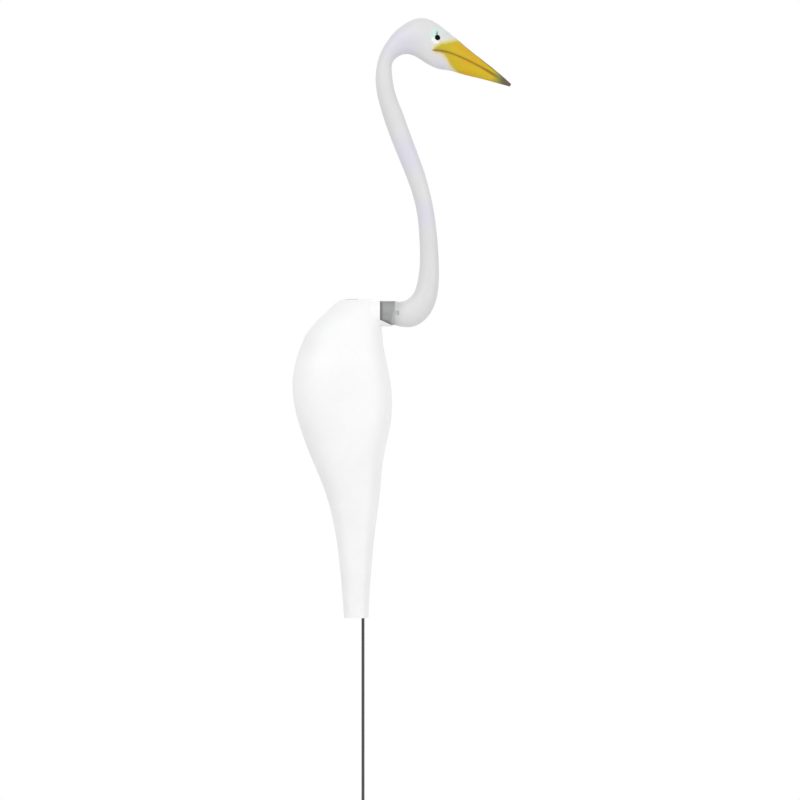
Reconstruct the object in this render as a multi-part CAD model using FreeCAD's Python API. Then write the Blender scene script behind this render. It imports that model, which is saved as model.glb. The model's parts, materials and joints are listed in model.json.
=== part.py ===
"""An egret-shaped motion decoy: a hollow bird that spins and rocks on a ball pivot on a thin ground stake.

The bird faces +X, its left side is +Y and +Z is up. The origin is on the stake at ground level. Each piece is
modelled with the middle of the pivot ball at (0, 0, 0) and lifted to its height when it is written.
"""

import FreeCAD, Part
import math
import os

V = FreeCAD.Vector
X_AXIS = V(1, 0, 0)
Y_AXIS = V(0, 1, 0)
Z_AXIS = V(0, 0, 1)

# ---- Driving dimensions, in millimetres ----

# Heights
TAIL_HEIGHT = 400.0  # ground to the tail's open end
TAIL_DROP = 304.0  # pivot to the tail's open end
PIVOT_HEIGHT = TAIL_HEIGHT + TAIL_DROP

# Stake
ROD_RADIUS = 1.5
UPPER_ROD_LENGTH = 520.0
GROUND_DEPTH = 200.0  # how far the point goes into the ground
POINT_LENGTH = 15.0
POINT_TIP_RADIUS = 0.4
COUPLER_LENGTH = 40.0
COUPLER_WALL = 1.3
TENON_STEP = 0.4  # how much thinner the lower rod is inside the coupler, which rests on its shoulder
CRIMP_INSET = 6.0  # from the coupler's end to the crimp that holds the rod
CRIMP_WIDTH = 2.4
CRIMP_DEPTH = 0.25
ROD_END_GAP = 0.5  # between the two rods, inside the coupler
ROD_CHAMFER = 0.4

# Ball pivot
BALL_RADIUS = 3.0
PIVOT_CLEARANCE = 0.05  # round the ball, and between the cap and the rod
BALL_SPACE = BALL_RADIUS + PIVOT_CLEARANCE
CAP_LIP = 0.5  # the cap's top, above the ball's middle
CAP_WALL = 1.65
CAP_WEB = 1.85  # between the ball's seat and the rod's end
CAP_HEAD_DEPTH = 6.0
CAP_SKIRT_LENGTH = 13.0
CAP_CHAMFER = 0.6
CUP_WALL = 1.95
CUP_RIM = 1.1  # the cup's rim, above the ball's middle
CUP_CROWN = 1.8  # the cup's metal above the ball
CUP_LEAD_IN = 0.8
WELL_CLEARANCE = 1.4  # round the cap, in the open well under the cup

# Neck spigot, collar and body socket, all round the X axis through the pivot
BLOCK_WALL = 1.9
SPIGOT_WALL = 1.8
COLLAR_WALL = 2.2
SOCKET_WALL = 1.4
FIT_GAP = 0.05  # between pieces that push together
SOCKET_REAR = -19.5
COLLAR_REAR = 8.0
NECK_ROOT_X = 32.0  # the shoulder that the collar stops against
SHOULDER_WEB = 2.5
END_PLAY = 0.5  # behind the spigot and the block
BLOCK_FRONT = 24.0
SOCKET_MOUTH = 17.0  # upright front edge of the socket
LIP_TOP = -7.0  # where the cradle lip leaves the upright edge
LIP_FRONT = 29.5
LIP_FRONT_DROP = 12.5
KEY_LENGTH = 4.0  # the collar's key, which stops it turning in the neck
KEY_HEIGHT = 4.0

CAP_HEAD_RADIUS = BALL_SPACE + CAP_WALL
CUP_RADIUS = BALL_SPACE + CUP_WALL
CUP_TOP = BALL_SPACE + CUP_CROWN
WELL_RADIUS = CAP_HEAD_RADIUS + WELL_CLEARANCE
BLOCK_RADIUS = WELL_RADIUS + BLOCK_WALL
SPIGOT_BORE = BLOCK_RADIUS + FIT_GAP
SPIGOT_RADIUS = SPIGOT_BORE + SPIGOT_WALL
SPIGOT_REAR = SOCKET_REAR + SOCKET_WALL + END_PLAY
COLLAR_BORE = SPIGOT_RADIUS + FIT_GAP
COLLAR_RADIUS = COLLAR_BORE + COLLAR_WALL
SOCKET_RADIUS = COLLAR_RADIUS + FIT_GAP + SOCKET_WALL

# Shell walls
BODY_WALL = 3.0
TAIL_RIM_WALL = 1.2
TAIL_TAPER = 80.0  # height over which the body's wall thins to the rim
NECK_WALL = 1.8

# Screws. Every head is on the bird's left side.
SCREW_RADIUS = 1.6
SCREW_TIP = 2.5
SCREW_CLEARANCE = 0.25
SCREW_HEAD_RADIUS = 3.2
SCREW_HEAD_HEIGHT = 2.2
PILOT_SPARE = 1.5
HEAD_WELL_RADIUS = 3.7
BOSS_WALL = 1.7
BODY_SCREW_SEAT = 9.0  # from the middle plane to the seat under the head
BODY_SCREW_REACH = 13.0  # from the middle plane to the tip
NECK_SCREW_X = -12.0
NECK_SCREW_REACH = 13.2
REGISTER_WALL = 1.0  # the ring on each right boss that enters the left one
REGISTER_HEIGHT = 1.2

# Locating pegs between the two neck shells: where they are, (x, z)
NECK_PEGS_AT = [(65.5, 55.0), (47.5, 157.0), (21.5, 232.0), (52.0, 277.0)]
PEG_RADIUS = 1.2
PEG_BOSS_RADIUS = 2.6
PEG_LENGTH = 2.5

# Eyes and bill
EYE_AT = (74.5, 274.5)
EYE_RADIUS = 2.8
EYE_SINK = 0.6  # the bead's foot below the head's skin
EYE_DOME = 1.9
EYE_STEM_RADIUS = 1.3
EYE_STEM_LENGTH = 5.0
HEAD_EDGE_TOP = [(68.0, 262.0), (74.0, 264.6), (83.0, 271.4), (95.0, 276.5)]
HEAD_EDGE_FOOT = [(68.0, 262.0), (74.5, 258.6), (80.5, 252.0), (87.5, 240.0)]
MOUTH_LINE = [
    (68.0, 262.0),
    (82.0, 260.6),
    (97.0, 255.6),
    (112.0, 248.6),
    (125.0, 241.6),
    (137.0, 234.2),
    (149.5, 226.8),
]
SLEEVE_GAP = 0.12  # between the bill's sleeve and the head
BILL_LAP = 6.0  # how far the bill's sleeve goes into the head
BILL_COLLAR = 5.0  # length of the thicker skin in front of the sleeve
BILL_TIP_SOLID = 3  # stations at the tip that stay solid

# The neck, head and bill after the round root: back (x, z), front (x, z), half-width.
NECK_STATIONS = [
    ((38.0, 11.6), (39.0, -13.8), 12.6),
    ((44.0, 13.4), (49.5, -13.8), 12.8),
    ((49.4, 18.0), (61.0, -7.6), 12.6),
    ((53.0, 25.5), (70.0, 4.4), 12.0),
    ((55.4, 36.0), (75.2, 23.5), 10.9),
    ((56.9, 50.0), (75.9, 47.0), 9.8),
    ((56.6, 72.0), (74.3, 74.2), 9.0),
    ((53.0, 105.0), (69.6, 108.6), 8.5),
    ((43.3, 136.5), (60.8, 142.6), 9.0),
    ((31.2, 166.0), (49.8, 172.6), 9.7),
    ((20.0, 197.0), (38.8, 202.8), 9.6),
    ((13.8, 220.6), (31.4, 223.4), 8.8),
    ((12.9, 240.2), (28.8, 241.4), 8.2),
    ((16.2, 256.6), (29.4, 250.0), 7.9),
    ((23.4, 270.6), (34.0, 255.6), 8.8),
    ((32.6, 282.0), (40.4, 258.6), 10.4),
    ((44.0, 290.6), (47.8, 258.4), 12.2),
    ((57.0, 295.4), (55.8, 254.6), 13.4),
    ((70.0, 292.4), (64.8, 248.8), 13.5),
    ((81.0, 284.8), (74.8, 244.4), 12.2),
    ((93.0, 274.8), (85.4, 242.6), 9.8),
    ((107.0, 262.8), (100.6, 238.4), 7.2),
    ((121.6, 251.4), (116.4, 234.6), 5.0),
    ((136.0, 239.8), (132.2, 230.4), 3.1),
    ((148.2, 229.0), (146.8, 226.4), 1.0),
]

# Sections of the body under its crown: height, back x, front x, half-width, squareness (2 is an ellipse).
CROWN_SECTIONS = [
    (10.0, -27.0, 13.4, 10.6, 2.0),
    (3.5, -34.0, 15.4, 15.4, 2.0),
    (-5.0, -43.0, 16.8, 20.2, 2.1),
    (-17.0, -54.0, 18.8, 25.6, 2.2),
]
CROWN_RISE = 0.35  # the crown's top above the socket
CROWN_BACK = -20.0
CROWN_FRONT = 12.5
CROWN_HALF_WIDTH = 4.6
# The rest of the body: share of the drop to the tail, then as above.
TRUNK_SECTIONS = [
    (0.110, -62.3, 20.6, 30.4, 2.2),
    (0.175, -68.4, 24.6, 34.4, 2.2),
    (0.270, -70.1, 28.8, 36.8, 2.2),
    (0.360, -64.4, 27.8, 36.4, 2.3),
    (0.460, -53.6, 21.4, 34.0, 2.4),
    (0.590, -37.6, 17.0, 31.0, 2.6),
    (0.720, -27.8, 12.0, 28.4, 2.8),
    (0.860, -22.4, 7.9, 26.2, 3.0),
    (1.000, -19.0, 5.6, 24.6, 3.0),
]
# Where the body's four screws are: x, and the share of the drop to the tail.
BODY_SCREWS_AT = [(-53.0, 0.165), (18.0, 0.285), (-37.0, 0.480), (-21.0, 0.670)]

RING_STEPS = 4  # spans round half a ring
FLAT = 1e-6
FAR = 400.0  # larger than the bird


# ---- Shapes that several pieces share ----


def point(x, z):
    return V(x, 0, z)


def half_ring(back, front, half_width, squareness=2.0, inset=0.0):
    """Points from back to front round the left side: half an ellipse, or squarer, taken in by inset."""
    centre = (back + front) / 2
    half_length = (back - front).Length / 2 - inset
    reach = (back - front).normalize() * half_length
    points = [centre + reach]
    for n in range(1, RING_STEPS):
        along, across = math.cos(math.pi * n / RING_STEPS), math.sin(math.pi * n / RING_STEPS)
        size = (abs(along) ** squareness + across**squareness) ** (-1 / squareness)
        points.append(centre + reach * (along * size) + Y_AXIS * ((half_width - inset) * across * size))
    return points + [centre - reach]


def ring_spline(points):
    """A curve round half a ring, which crosses the middle plane squarely at both ends."""
    start_speed = Y_AXIS * (max(p.y for p in points) * math.pi / RING_STEPS)
    turns = [float(n) for n in range(len(points))]
    curve = Part.BSplineCurve()
    curve.interpolate(
        Points=points, Parameters=turns, InitialTangent=start_speed, FinalTangent=-start_speed, Scale=False
    )
    return curve


def length_spline(points, travel):
    curve = Part.BSplineCurve()
    curve.interpolate(Points=points, Parameters=travel)
    return curve


def half_loft(rows):
    """The left half of a smooth solid through rows of points that each start and end in the middle plane."""
    travel = [0.0]
    for row, next_row in zip(rows, rows[1:]):
        travel.append(travel[-1] + ((next_row[0] + next_row[-1]) / 2 - (row[0] + row[-1]) / 2).Length)
    across = [ring_spline(row) for row in rows]
    along = [length_spline(list(poles), travel) for poles in zip(*(curve.getPoles() for curve in across))]
    surface = Part.BSplineSurface()
    surface.buildFromPolesMultsKnots(
        [curve.getPoles() for curve in along],
        across[0].getMultiplicities(),
        along[0].getMultiplicities(),
        across[0].getKnots(),
        along[0].getKnots(),
        False,
        False,
        across[0].Degree,
        along[0].Degree,
    )
    skin = surface.toShape()
    flat_edges = [edge for edge in skin.Edges if edge.BoundBox.YMax < FLAT]
    end_arcs = [edge for edge in skin.Edges if edge.BoundBox.YMax >= FLAT]
    chords = [Part.makeLine(row[0], row[-1]) for row in (rows[0], rows[-1])]
    faces = [skin, Part.Face(Part.Wire(Part.__sortEdges__(flat_edges + chords)))]
    for arc in end_arcs:
        first, last = (vertex.Point for vertex in arc.Vertexes)
        faces.append(Part.Face(Part.Wire([arc, Part.makeLine(last, first)])))
    shell = Part.makeShell(faces)
    shell.sewShape()
    solid = Part.makeSolid(shell)
    if solid.Volume < 0:
        solid.reverse()
    return solid


def mirrored(shape):
    """The same shape on the bird's right."""
    return shape.mirror(V(0, 0, 0), Y_AXIS)


def on_side(shape, side):
    """A shape of the bird's left (+1), carried over when it is wanted on the right (-1)."""
    return shape if side > 0 else mirrored(shape)


def neck_half(inset=0.0, tip_stations_left_off=0):
    """The left half of the neck, head and bill as one solid, taken in by inset all round."""
    root = ((NECK_ROOT_X, COLLAR_RADIUS), (NECK_ROOT_X, -COLLAR_RADIUS), COLLAR_RADIUS)
    stations = [root] + NECK_STATIONS[: len(NECK_STATIONS) - tip_stations_left_off]
    rows = [half_ring(point(*back), point(*front), width, 2.0, inset) for back, front, width in stations]
    return half_loft(rows)


def body_sections():
    """Every section of the body: height, back x, front x, half-width, squareness."""
    crown = [(SOCKET_RADIUS + CROWN_RISE, CROWN_BACK, CROWN_FRONT, CROWN_HALF_WIDTH, 2.0)]
    trunk = [(-share * TAIL_DROP, *shape) for share, *shape in TRUNK_SECTIONS]
    return crown + CROWN_SECTIONS + trunk


def section_row(section, inset=0.0):
    height, back, front, half_width, squareness = section
    return half_ring(point(back, height), point(front, height), half_width, squareness, inset)


def body_half():
    """The left half of the body as one solid."""
    return half_loft([section_row(section) for section in body_sections()])


def tube_along_x(radius, start, end):
    return Part.makeCylinder(radius, end - start, V(start, 0, 0), X_AXIS)


def pin_along_y(radius, start, end, x, z):
    return Part.makeCylinder(radius, end - start, V(x, start, z), Y_AXIS)


def prism(edges):
    """A flat closed outline of edges in the middle plane, carried past both sides of the bird."""
    face = Part.Face(Part.Wire(Part.__sortEdges__(edges)))
    face.translate(V(0, -FAR, 0))
    return face.extrude(V(0, 2 * FAR, 0))


def lines(points):
    return [Part.makeLine(start, end) for start, end in zip(points, points[1:])]


def curve_through(points):
    curve = Part.BSplineCurve()
    curve.interpolate([point(x, z) for x, z in points])
    return curve.toShape()


def turned(profile):
    """A solid of revolution about Z from (radius, height) corners."""
    corners = [V(radius, 0, height) for radius, height in profile]
    return Part.Face(Part.makePolygon(corners + corners[:1])).revolve(V(0, 0, 0), Z_AXIS, 360)


def half_of(shape):
    """The half of a shape on the bird's left."""
    return shape.common(Part.makeBox(2 * FAR, FAR, 2 * FAR, V(-FAR, 0, -FAR)))


def single(shape):
    """The one solid in a boolean's result."""
    if len(shape.Solids) != 1:
        raise ValueError(f"expected one solid, found {len(shape.Solids)}")
    return shape.Solids[0]


# ---- Stake ----


def rod_top():
    return -(BALL_SPACE + CAP_WEB + PIVOT_CLEARANCE)


def upper_rod():
    top = rod_top()
    bottom = top - UPPER_ROD_LENGTH
    face_radius = ROD_RADIUS - ROD_CHAMFER
    profile = [(0, top), (face_radius, top), (ROD_RADIUS, top - ROD_CHAMFER)]
    profile += [(ROD_RADIUS, bottom + ROD_CHAMFER), (face_radius, bottom), (0, bottom)]
    return turned(profile)


def coupler_middle():
    return rod_top() - UPPER_ROD_LENGTH - ROD_END_GAP / 2


def lower_rod():
    """The pointed rod, with a thinner tenon that goes up into the coupler."""
    top = coupler_middle() - ROD_END_GAP / 2
    shoulder = coupler_middle() - COUPLER_LENGTH / 2
    bottom = -PIVOT_HEIGHT - GROUND_DEPTH
    tenon_radius = ROD_RADIUS - TENON_STEP
    profile = [(0, top), (tenon_radius - ROD_CHAMFER, top), (tenon_radius, top - ROD_CHAMFER)]
    profile += [(tenon_radius, shoulder), (ROD_RADIUS, shoulder)]
    profile += [(ROD_RADIUS, bottom + POINT_LENGTH), (POINT_TIP_RADIUS, bottom), (0, bottom)]
    return turned(profile)


def coupler():
    """The sleeve that joins the two rods, crimped on each."""
    middle = coupler_middle()
    top, bottom = middle + COUPLER_LENGTH / 2, middle - COUPLER_LENGTH / 2
    tenon_radius = ROD_RADIUS - TENON_STEP
    radius = ROD_RADIUS + COUPLER_WALL
    profile = [(ROD_RADIUS, top), (radius - ROD_CHAMFER, top), (radius, top - ROD_CHAMFER)]
    for crimp in (top - CRIMP_INSET, bottom + CRIMP_INSET):
        start, end = crimp + CRIMP_WIDTH / 2, crimp - CRIMP_WIDTH / 2
        profile += [(radius, start), (radius - CRIMP_DEPTH, crimp), (radius, end)]
    profile += [(radius, bottom + ROD_CHAMFER), (radius - ROD_CHAMFER, bottom), (tenon_radius, bottom)]
    profile += [(tenon_radius, middle), (ROD_RADIUS, middle)]
    return turned(profile)


# ---- Ball pivot ----


def tip_cap():
    """The cap that turns on the rod's end and holds the ball in its seat."""
    web_foot = -(BALL_SPACE + CAP_WEB)
    head_foot = CAP_LIP - CAP_HEAD_DEPTH
    skirt_foot = head_foot - CAP_SKIRT_LENGTH
    bore = ROD_RADIUS + PIVOT_CLEARANCE
    skirt_radius = bore + CAP_WALL
    profile = [(0, CAP_LIP), (CAP_HEAD_RADIUS - CAP_CHAMFER, CAP_LIP)]
    profile += [(CAP_HEAD_RADIUS, CAP_LIP - CAP_CHAMFER), (CAP_HEAD_RADIUS, head_foot)]
    profile += [(skirt_radius, head_foot - CAP_CHAMFER)]
    profile += [(skirt_radius, skirt_foot), (bore, skirt_foot), (bore, web_foot), (0, web_foot)]
    return single(turned(profile).cut(Part.makeSphere(BALL_SPACE)))


def pivot_cup():
    """The hard cup that rides on the ball, with a lead-in round its rim."""
    rim_radius = math.sqrt(BALL_SPACE**2 - CUP_RIM**2) + CUP_LEAD_IN
    lead_in = turned([(0, CUP_RIM), (rim_radius, CUP_RIM), (0, CUP_RIM + rim_radius)])
    body = turned([(0, CUP_RIM), (CUP_RADIUS, CUP_RIM), (CUP_RADIUS, CUP_TOP), (0, CUP_TOP)])
    return single(body.cut(Part.makeSphere(BALL_SPACE)).cut(lead_in))


def pivot_well():
    """The open well under the cup, which the cap and the rod stand in."""
    foot = -2 * SOCKET_RADIUS
    return Part.makeCylinder(WELL_RADIUS, CUP_RIM - foot, V(0, 0, foot))


def neck_screw_hole():
    return pin_along_y(SCREW_RADIUS + SCREW_CLEARANCE, -SOCKET_RADIUS, SOCKET_RADIUS, NECK_SCREW_X, 0)


def pivot_block():
    """The plug that fills the neck's spigot and carries the cup."""
    plug = tube_along_x(BLOCK_RADIUS, SPIGOT_REAR + END_PLAY, BLOCK_FRONT)
    cup_seat = Part.makeCylinder(CUP_RADIUS, CUP_TOP)
    return single(plug.cut(pivot_well()).cut(cup_seat).cut(neck_screw_hole()))


# ---- Collar ----


def collar_keys(outside_radius, gap=0.0):
    """The two keys on the collar's front face, one on each side, out to a radius and with gap round them."""
    keys = Part.makeBox(KEY_LENGTH + gap, 2 * outside_radius, KEY_HEIGHT + 2 * gap)
    keys.translate(V(NECK_ROOT_X, -outside_radius, -KEY_HEIGHT / 2 - gap))
    ring_outside = tube_along_x(outside_radius, NECK_ROOT_X, NECK_ROOT_X + 2 * KEY_LENGTH)
    ring_inside = tube_along_x(COLLAR_BORE - gap, NECK_ROOT_X, NECK_ROOT_X + 2 * KEY_LENGTH)
    return keys.common(ring_outside).cut(ring_inside)


def neck_collar():
    """The sleeve over the spigot, between the body's socket and the neck's shoulder."""
    sleeve = tube_along_x(COLLAR_RADIUS, COLLAR_REAR, NECK_ROOT_X).cut(tube_along_x(COLLAR_BORE, 0, FAR))
    return single(sleeve.fuse(collar_keys(COLLAR_RADIUS)))


# ---- Neck and head ----


def bill_region(forward=0.0):
    """Everything in front of the head's edge, or of that edge moved forward along X."""
    top_end, foot_end = point(*HEAD_EDGE_TOP[-1]), point(*HEAD_EDGE_FOOT[-1])
    frame = [top_end, top_end + V(0, 0, FAR), V(FAR, 0, FAR), V(FAR, 0, 0), V(foot_end.x, 0, 0), foot_end]
    region = prism([curve_through(HEAD_EDGE_TOP), curve_through(HEAD_EDGE_FOOT)] + lines(frame))
    region.translate(V(forward, 0, 0))
    return region


def above_mouth():
    """Everything over the line where the two halves of the bill meet."""
    start, end = point(*MOUTH_LINE[0]), point(*MOUTH_LINE[-1])
    behind = start - V(2 * BILL_LAP, 0, 0)
    beyond = end + V(2 * BILL_LAP, 0, 0)
    frame = lines([end, beyond, beyond + V(0, 0, FAR), behind + V(0, 0, FAR), behind, start])
    return prism([curve_through(MOUTH_LINE)] + frame)


def eye_seat(head):
    """The place on the head's left where the eye sits, and the outward direction there."""
    sight_line = Part.makeLine(point(*EYE_AT), point(*EYE_AT) + Y_AXIS * FAR)
    place = max((vertex.Point for vertex in sight_line.common(head).Vertexes), key=lambda p: p.y)
    skin = next(face for face in head.Faces if face.distToShape(Part.Vertex(place))[0] < FIT_GAP)
    outward = skin.Surface.normal(*skin.Surface.parameter(place))
    return place, outward if outward.y > 0 else -outward


def neck_shell(outer, side):
    """One half of the hollow neck and head, with its half of the spigot."""
    web_end = NECK_ROOT_X + SHOULDER_WEB
    web_corner = V(NECK_ROOT_X, -2 * COLLAR_RADIUS, -2 * COLLAR_RADIUS)
    web_space = Part.makeBox(SHOULDER_WEB, 4 * COLLAR_RADIUS, 4 * COLLAR_RADIUS, web_corner)
    shell = outer.cut(bill_region()).cut(neck_half(NECK_WALL, BILL_TIP_SOLID).cut(web_space))
    bosses = [pin_along_y(PEG_BOSS_RADIUS, 0, FAR, x, z).common(outer) for x, z in NECK_PEGS_AT]
    shell = shell.fuse(bosses + [half_of(tube_along_x(SPIGOT_RADIUS, SPIGOT_REAR, web_end))])
    shell = shell.cut(tube_along_x(SPIGOT_BORE, SPIGOT_REAR, web_end))
    shell = shell.cut(pivot_well()).cut(neck_screw_hole()).cut(collar_keys(SOCKET_RADIUS, FIT_GAP))
    place, outward = eye_seat(outer)
    foot = place - outward * EYE_SINK
    shell = shell.cut(Part.makeCylinder(EYE_RADIUS + FIT_GAP, EYE_DOME, foot, outward))
    shell = shell.cut(Part.makeCylinder(EYE_STEM_RADIUS + FIT_GAP, EYE_STEM_LENGTH, foot, -outward))
    shell = on_side(shell, side)
    for x, z in NECK_PEGS_AT:
        if side > 0:
            shell = shell.cut(pin_along_y(PEG_RADIUS + FIT_GAP, 0, PEG_LENGTH + PILOT_SPARE, x, z))
        else:
            shell = shell.fuse(pin_along_y(PEG_RADIUS, -FIT_GAP, PEG_LENGTH, x, z))
    return single(shell)


def eye(outer, side):
    """A glossy bead with a stem through the head's wall."""
    place, outward = eye_seat(outer)
    foot = place - outward * EYE_SINK
    dome_radius = (EYE_RADIUS**2 + EYE_DOME**2) / (2 * EYE_DOME)
    ball = Part.makeSphere(dome_radius, foot + outward * (EYE_DOME - dome_radius))
    bead = ball.common(Part.makeCylinder(EYE_RADIUS, EYE_DOME, foot, outward))
    stem = Part.makeCylinder(EYE_STEM_RADIUS, EYE_STEM_LENGTH, foot, -outward)
    return on_side(single(bead.fuse(stem)), side)


def bill_halves(outer):
    """The upper and lower bill: hollow skins with a sleeve that laps inside the head."""
    sleeve = neck_half(NECK_WALL + SLEEVE_GAP, BILL_TIP_SOLID).common(bill_region(-BILL_LAP))
    bill = outer.common(bill_region()).fuse(sleeve).cut(neck_half(2 * NECK_WALL, BILL_TIP_SOLID))
    bill = bill.cut(neck_half(NECK_WALL, BILL_TIP_SOLID).common(bill_region(BILL_COLLAR)))
    upper_space = above_mouth()
    upper, lower = bill.common(upper_space), bill.cut(upper_space)
    return single(upper.fuse(mirrored(upper))), single(lower.fuse(mirrored(lower)))


# ---- Body ----


def neck_socket():
    """The solid round the spigot and the collar, with the cradle lip under the collar's front."""
    front = tube_along_x(SOCKET_RADIUS, COLLAR_REAR - SOCKET_WALL, LIP_FRONT)
    rear = tube_along_x(COLLAR_BORE + SOCKET_WALL, SOCKET_REAR, COLLAR_REAR)
    mouth = [point(SOCKET_MOUTH, FAR), point(SOCKET_MOUTH, LIP_TOP), point(LIP_FRONT, -LIP_FRONT_DROP)]
    mouth += [point(FAR, -LIP_FRONT_DROP), point(FAR, FAR), point(SOCKET_MOUTH, FAR)]
    return front.cut(prism(lines(mouth))).fuse(rear)


def socket_bore():
    spigot_space = tube_along_x(COLLAR_BORE, SOCKET_REAR + SOCKET_WALL, LIP_FRONT)
    return spigot_space.fuse(tube_along_x(COLLAR_RADIUS + FIT_GAP, COLLAR_REAR, FAR))


def wall_at(height):
    """The body's wall, which is even down to the tail's taper and thins from there to the rim."""
    share = min(1.0, (height + TAIL_DROP) / TAIL_TAPER)
    return TAIL_RIM_WALL + share * (BODY_WALL - TAIL_RIM_WALL)


def body_hollow():
    """The left half of the space inside the body, which opens at the tail."""
    roof = Part.makeBox(2 * FAR, 2 * FAR, FAR, V(-FAR, -FAR, SOCKET_RADIUS + CROWN_RISE - BODY_WALL))
    return half_loft([section_row(section, wall_at(section[0])) for section in body_sections()]).cut(roof)


def screw_places():
    """Each screw through the body: x, z, seat height and reach, both from the middle plane."""
    places = [(x, -share * TAIL_DROP, BODY_SCREW_SEAT, BODY_SCREW_REACH) for x, share in BODY_SCREWS_AT]
    return places + [(NECK_SCREW_X, 0.0, COLLAR_BORE + SOCKET_WALL + 0.5 * BOSS_WALL, NECK_SCREW_REACH)]


def body_shell(skin, hollow, side):
    """One half of the hollow body, with its half of the neck's socket and its screw bosses."""
    boss_radius = HEAD_WELL_RADIUS + BOSS_WALL if side > 0 else SCREW_RADIUS + BOSS_WALL + REGISTER_WALL
    bosses = [pin_along_y(boss_radius, 0, FAR, x, z).common(skin) for x, z, _, _ in screw_places()]
    shell = skin.cut(hollow).fuse(bosses + [half_of(neck_socket())]).cut(socket_bore()).cut(pivot_well())
    shell = on_side(shell, side)
    hole_radius = SCREW_RADIUS + SCREW_CLEARANCE
    register_radius = hole_radius + REGISTER_WALL
    for x, z, seat, reach in screw_places():
        if side > 0:
            shell = shell.cut(pin_along_y(hole_radius, 0, FAR, x, z))
            shell = shell.cut(pin_along_y(HEAD_WELL_RADIUS, seat, FAR, x, z))
        else:
            shell = shell.cut(pin_along_y(SCREW_RADIUS, -reach - PILOT_SPARE, 0, x, z))
    for x, z, _, _ in screw_places()[: len(BODY_SCREWS_AT)]:
        if side > 0:
            shell = shell.cut(pin_along_y(register_radius + FIT_GAP, 0, REGISTER_HEIGHT + FIT_GAP, x, z))
        else:
            register = pin_along_y(register_radius, -FIT_GAP, REGISTER_HEIGHT, x, z)
            shell = shell.fuse(register.cut(pin_along_y(hole_radius, -FIT_GAP, REGISTER_HEIGHT, x, z)))
    return single(shell)


def screw(x, z, seat, reach):
    """A self-tapping screw along Y: its head stands on seat and its tip is reach past the middle plane."""
    length = seat + reach
    crown_radius = SCREW_HEAD_RADIUS - SCREW_CLEARANCE
    profile = [(0, SCREW_HEAD_HEIGHT), (crown_radius, SCREW_HEAD_HEIGHT), (SCREW_HEAD_RADIUS, 0)]
    profile += [(SCREW_RADIUS, 0), (SCREW_RADIUS, SCREW_TIP - length), (0, -length)]
    shape = turned(profile)
    shape.rotate(V(0, 0, 0), X_AXIS, -90)
    shape.translate(V(x, seat, z))
    return shape


# ---- The whole decoy ----


def pieces():
    head_and_neck = neck_half()
    skin, hollow = body_half(), body_hollow()
    upper_bill, lower_bill = bill_halves(head_and_neck)
    screws = [screw(*place) for place in screw_places()]
    return {
        "stake_upper_rod": upper_rod(),
        "stake_lower_rod": lower_rod(),
        "stake_coupler": coupler(),
        "tip_cap": tip_cap(),
        "pivot_ball": Part.makeSphere(BALL_RADIUS),
        "pivot_cup": pivot_cup(),
        "pivot_block": pivot_block(),
        "neck_collar": neck_collar(),
        "neck_shell_right": neck_shell(head_and_neck, -1),
        "neck_shell_left": neck_shell(head_and_neck, +1),
        "upper_bill": upper_bill,
        "lower_bill": lower_bill,
        "eye_right": eye(head_and_neck, -1),
        "eye_left": eye(head_and_neck, +1),
        "body_shell_right": body_shell(skin, hollow, -1),
        "body_shell_left": body_shell(skin, hollow, +1),
        "body_screws": Part.makeCompound(screws[:-1]),
        "neck_screw": screws[-1],
    }


os.makedirs("parts", exist_ok=True)
for name, shape in pieces().items():
    shape = shape.copy()
    shape.translate(V(0, 0, PIVOT_HEIGHT))
    shape.exportStep(f"parts/{name}.step")
    print(f"{name}: {len(shape.Solids)} solid(s), {shape.Volume / 1000:.2f} cm3, valid {shape.isValid()}")
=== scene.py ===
import json
import math
from typing import NamedTuple

import bmesh
import bpy
from mathutils import Matrix, Vector


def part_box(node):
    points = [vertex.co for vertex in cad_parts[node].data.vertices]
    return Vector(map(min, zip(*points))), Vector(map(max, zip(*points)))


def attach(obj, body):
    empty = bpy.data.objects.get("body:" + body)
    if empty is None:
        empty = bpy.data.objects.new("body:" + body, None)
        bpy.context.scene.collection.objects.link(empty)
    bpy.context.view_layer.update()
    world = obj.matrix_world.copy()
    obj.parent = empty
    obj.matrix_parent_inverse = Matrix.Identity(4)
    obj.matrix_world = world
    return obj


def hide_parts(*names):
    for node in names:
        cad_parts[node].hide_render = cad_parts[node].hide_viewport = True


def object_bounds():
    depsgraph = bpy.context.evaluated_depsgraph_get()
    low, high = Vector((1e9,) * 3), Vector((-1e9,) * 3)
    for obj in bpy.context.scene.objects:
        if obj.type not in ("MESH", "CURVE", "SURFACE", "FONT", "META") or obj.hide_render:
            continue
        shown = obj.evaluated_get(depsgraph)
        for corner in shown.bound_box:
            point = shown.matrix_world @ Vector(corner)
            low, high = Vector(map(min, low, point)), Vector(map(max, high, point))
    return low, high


# The looks of an egret-shaped motion decoy: white shells, a painted yellow bill and glossy eyes on a
# dark stake. The bird faces +X, its left is +Y and +Z is up, all in metres.

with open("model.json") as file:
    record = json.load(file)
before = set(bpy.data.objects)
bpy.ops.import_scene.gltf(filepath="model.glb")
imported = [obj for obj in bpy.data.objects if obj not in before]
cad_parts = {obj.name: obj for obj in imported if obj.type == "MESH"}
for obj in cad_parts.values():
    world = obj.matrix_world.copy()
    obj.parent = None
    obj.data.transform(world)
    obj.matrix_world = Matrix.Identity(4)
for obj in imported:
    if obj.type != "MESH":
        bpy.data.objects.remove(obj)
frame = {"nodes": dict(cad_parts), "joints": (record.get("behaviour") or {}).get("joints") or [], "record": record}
cad_low, cad_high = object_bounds()

MM = 0.001

# ---- Places, worked out from the frame ----

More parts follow.
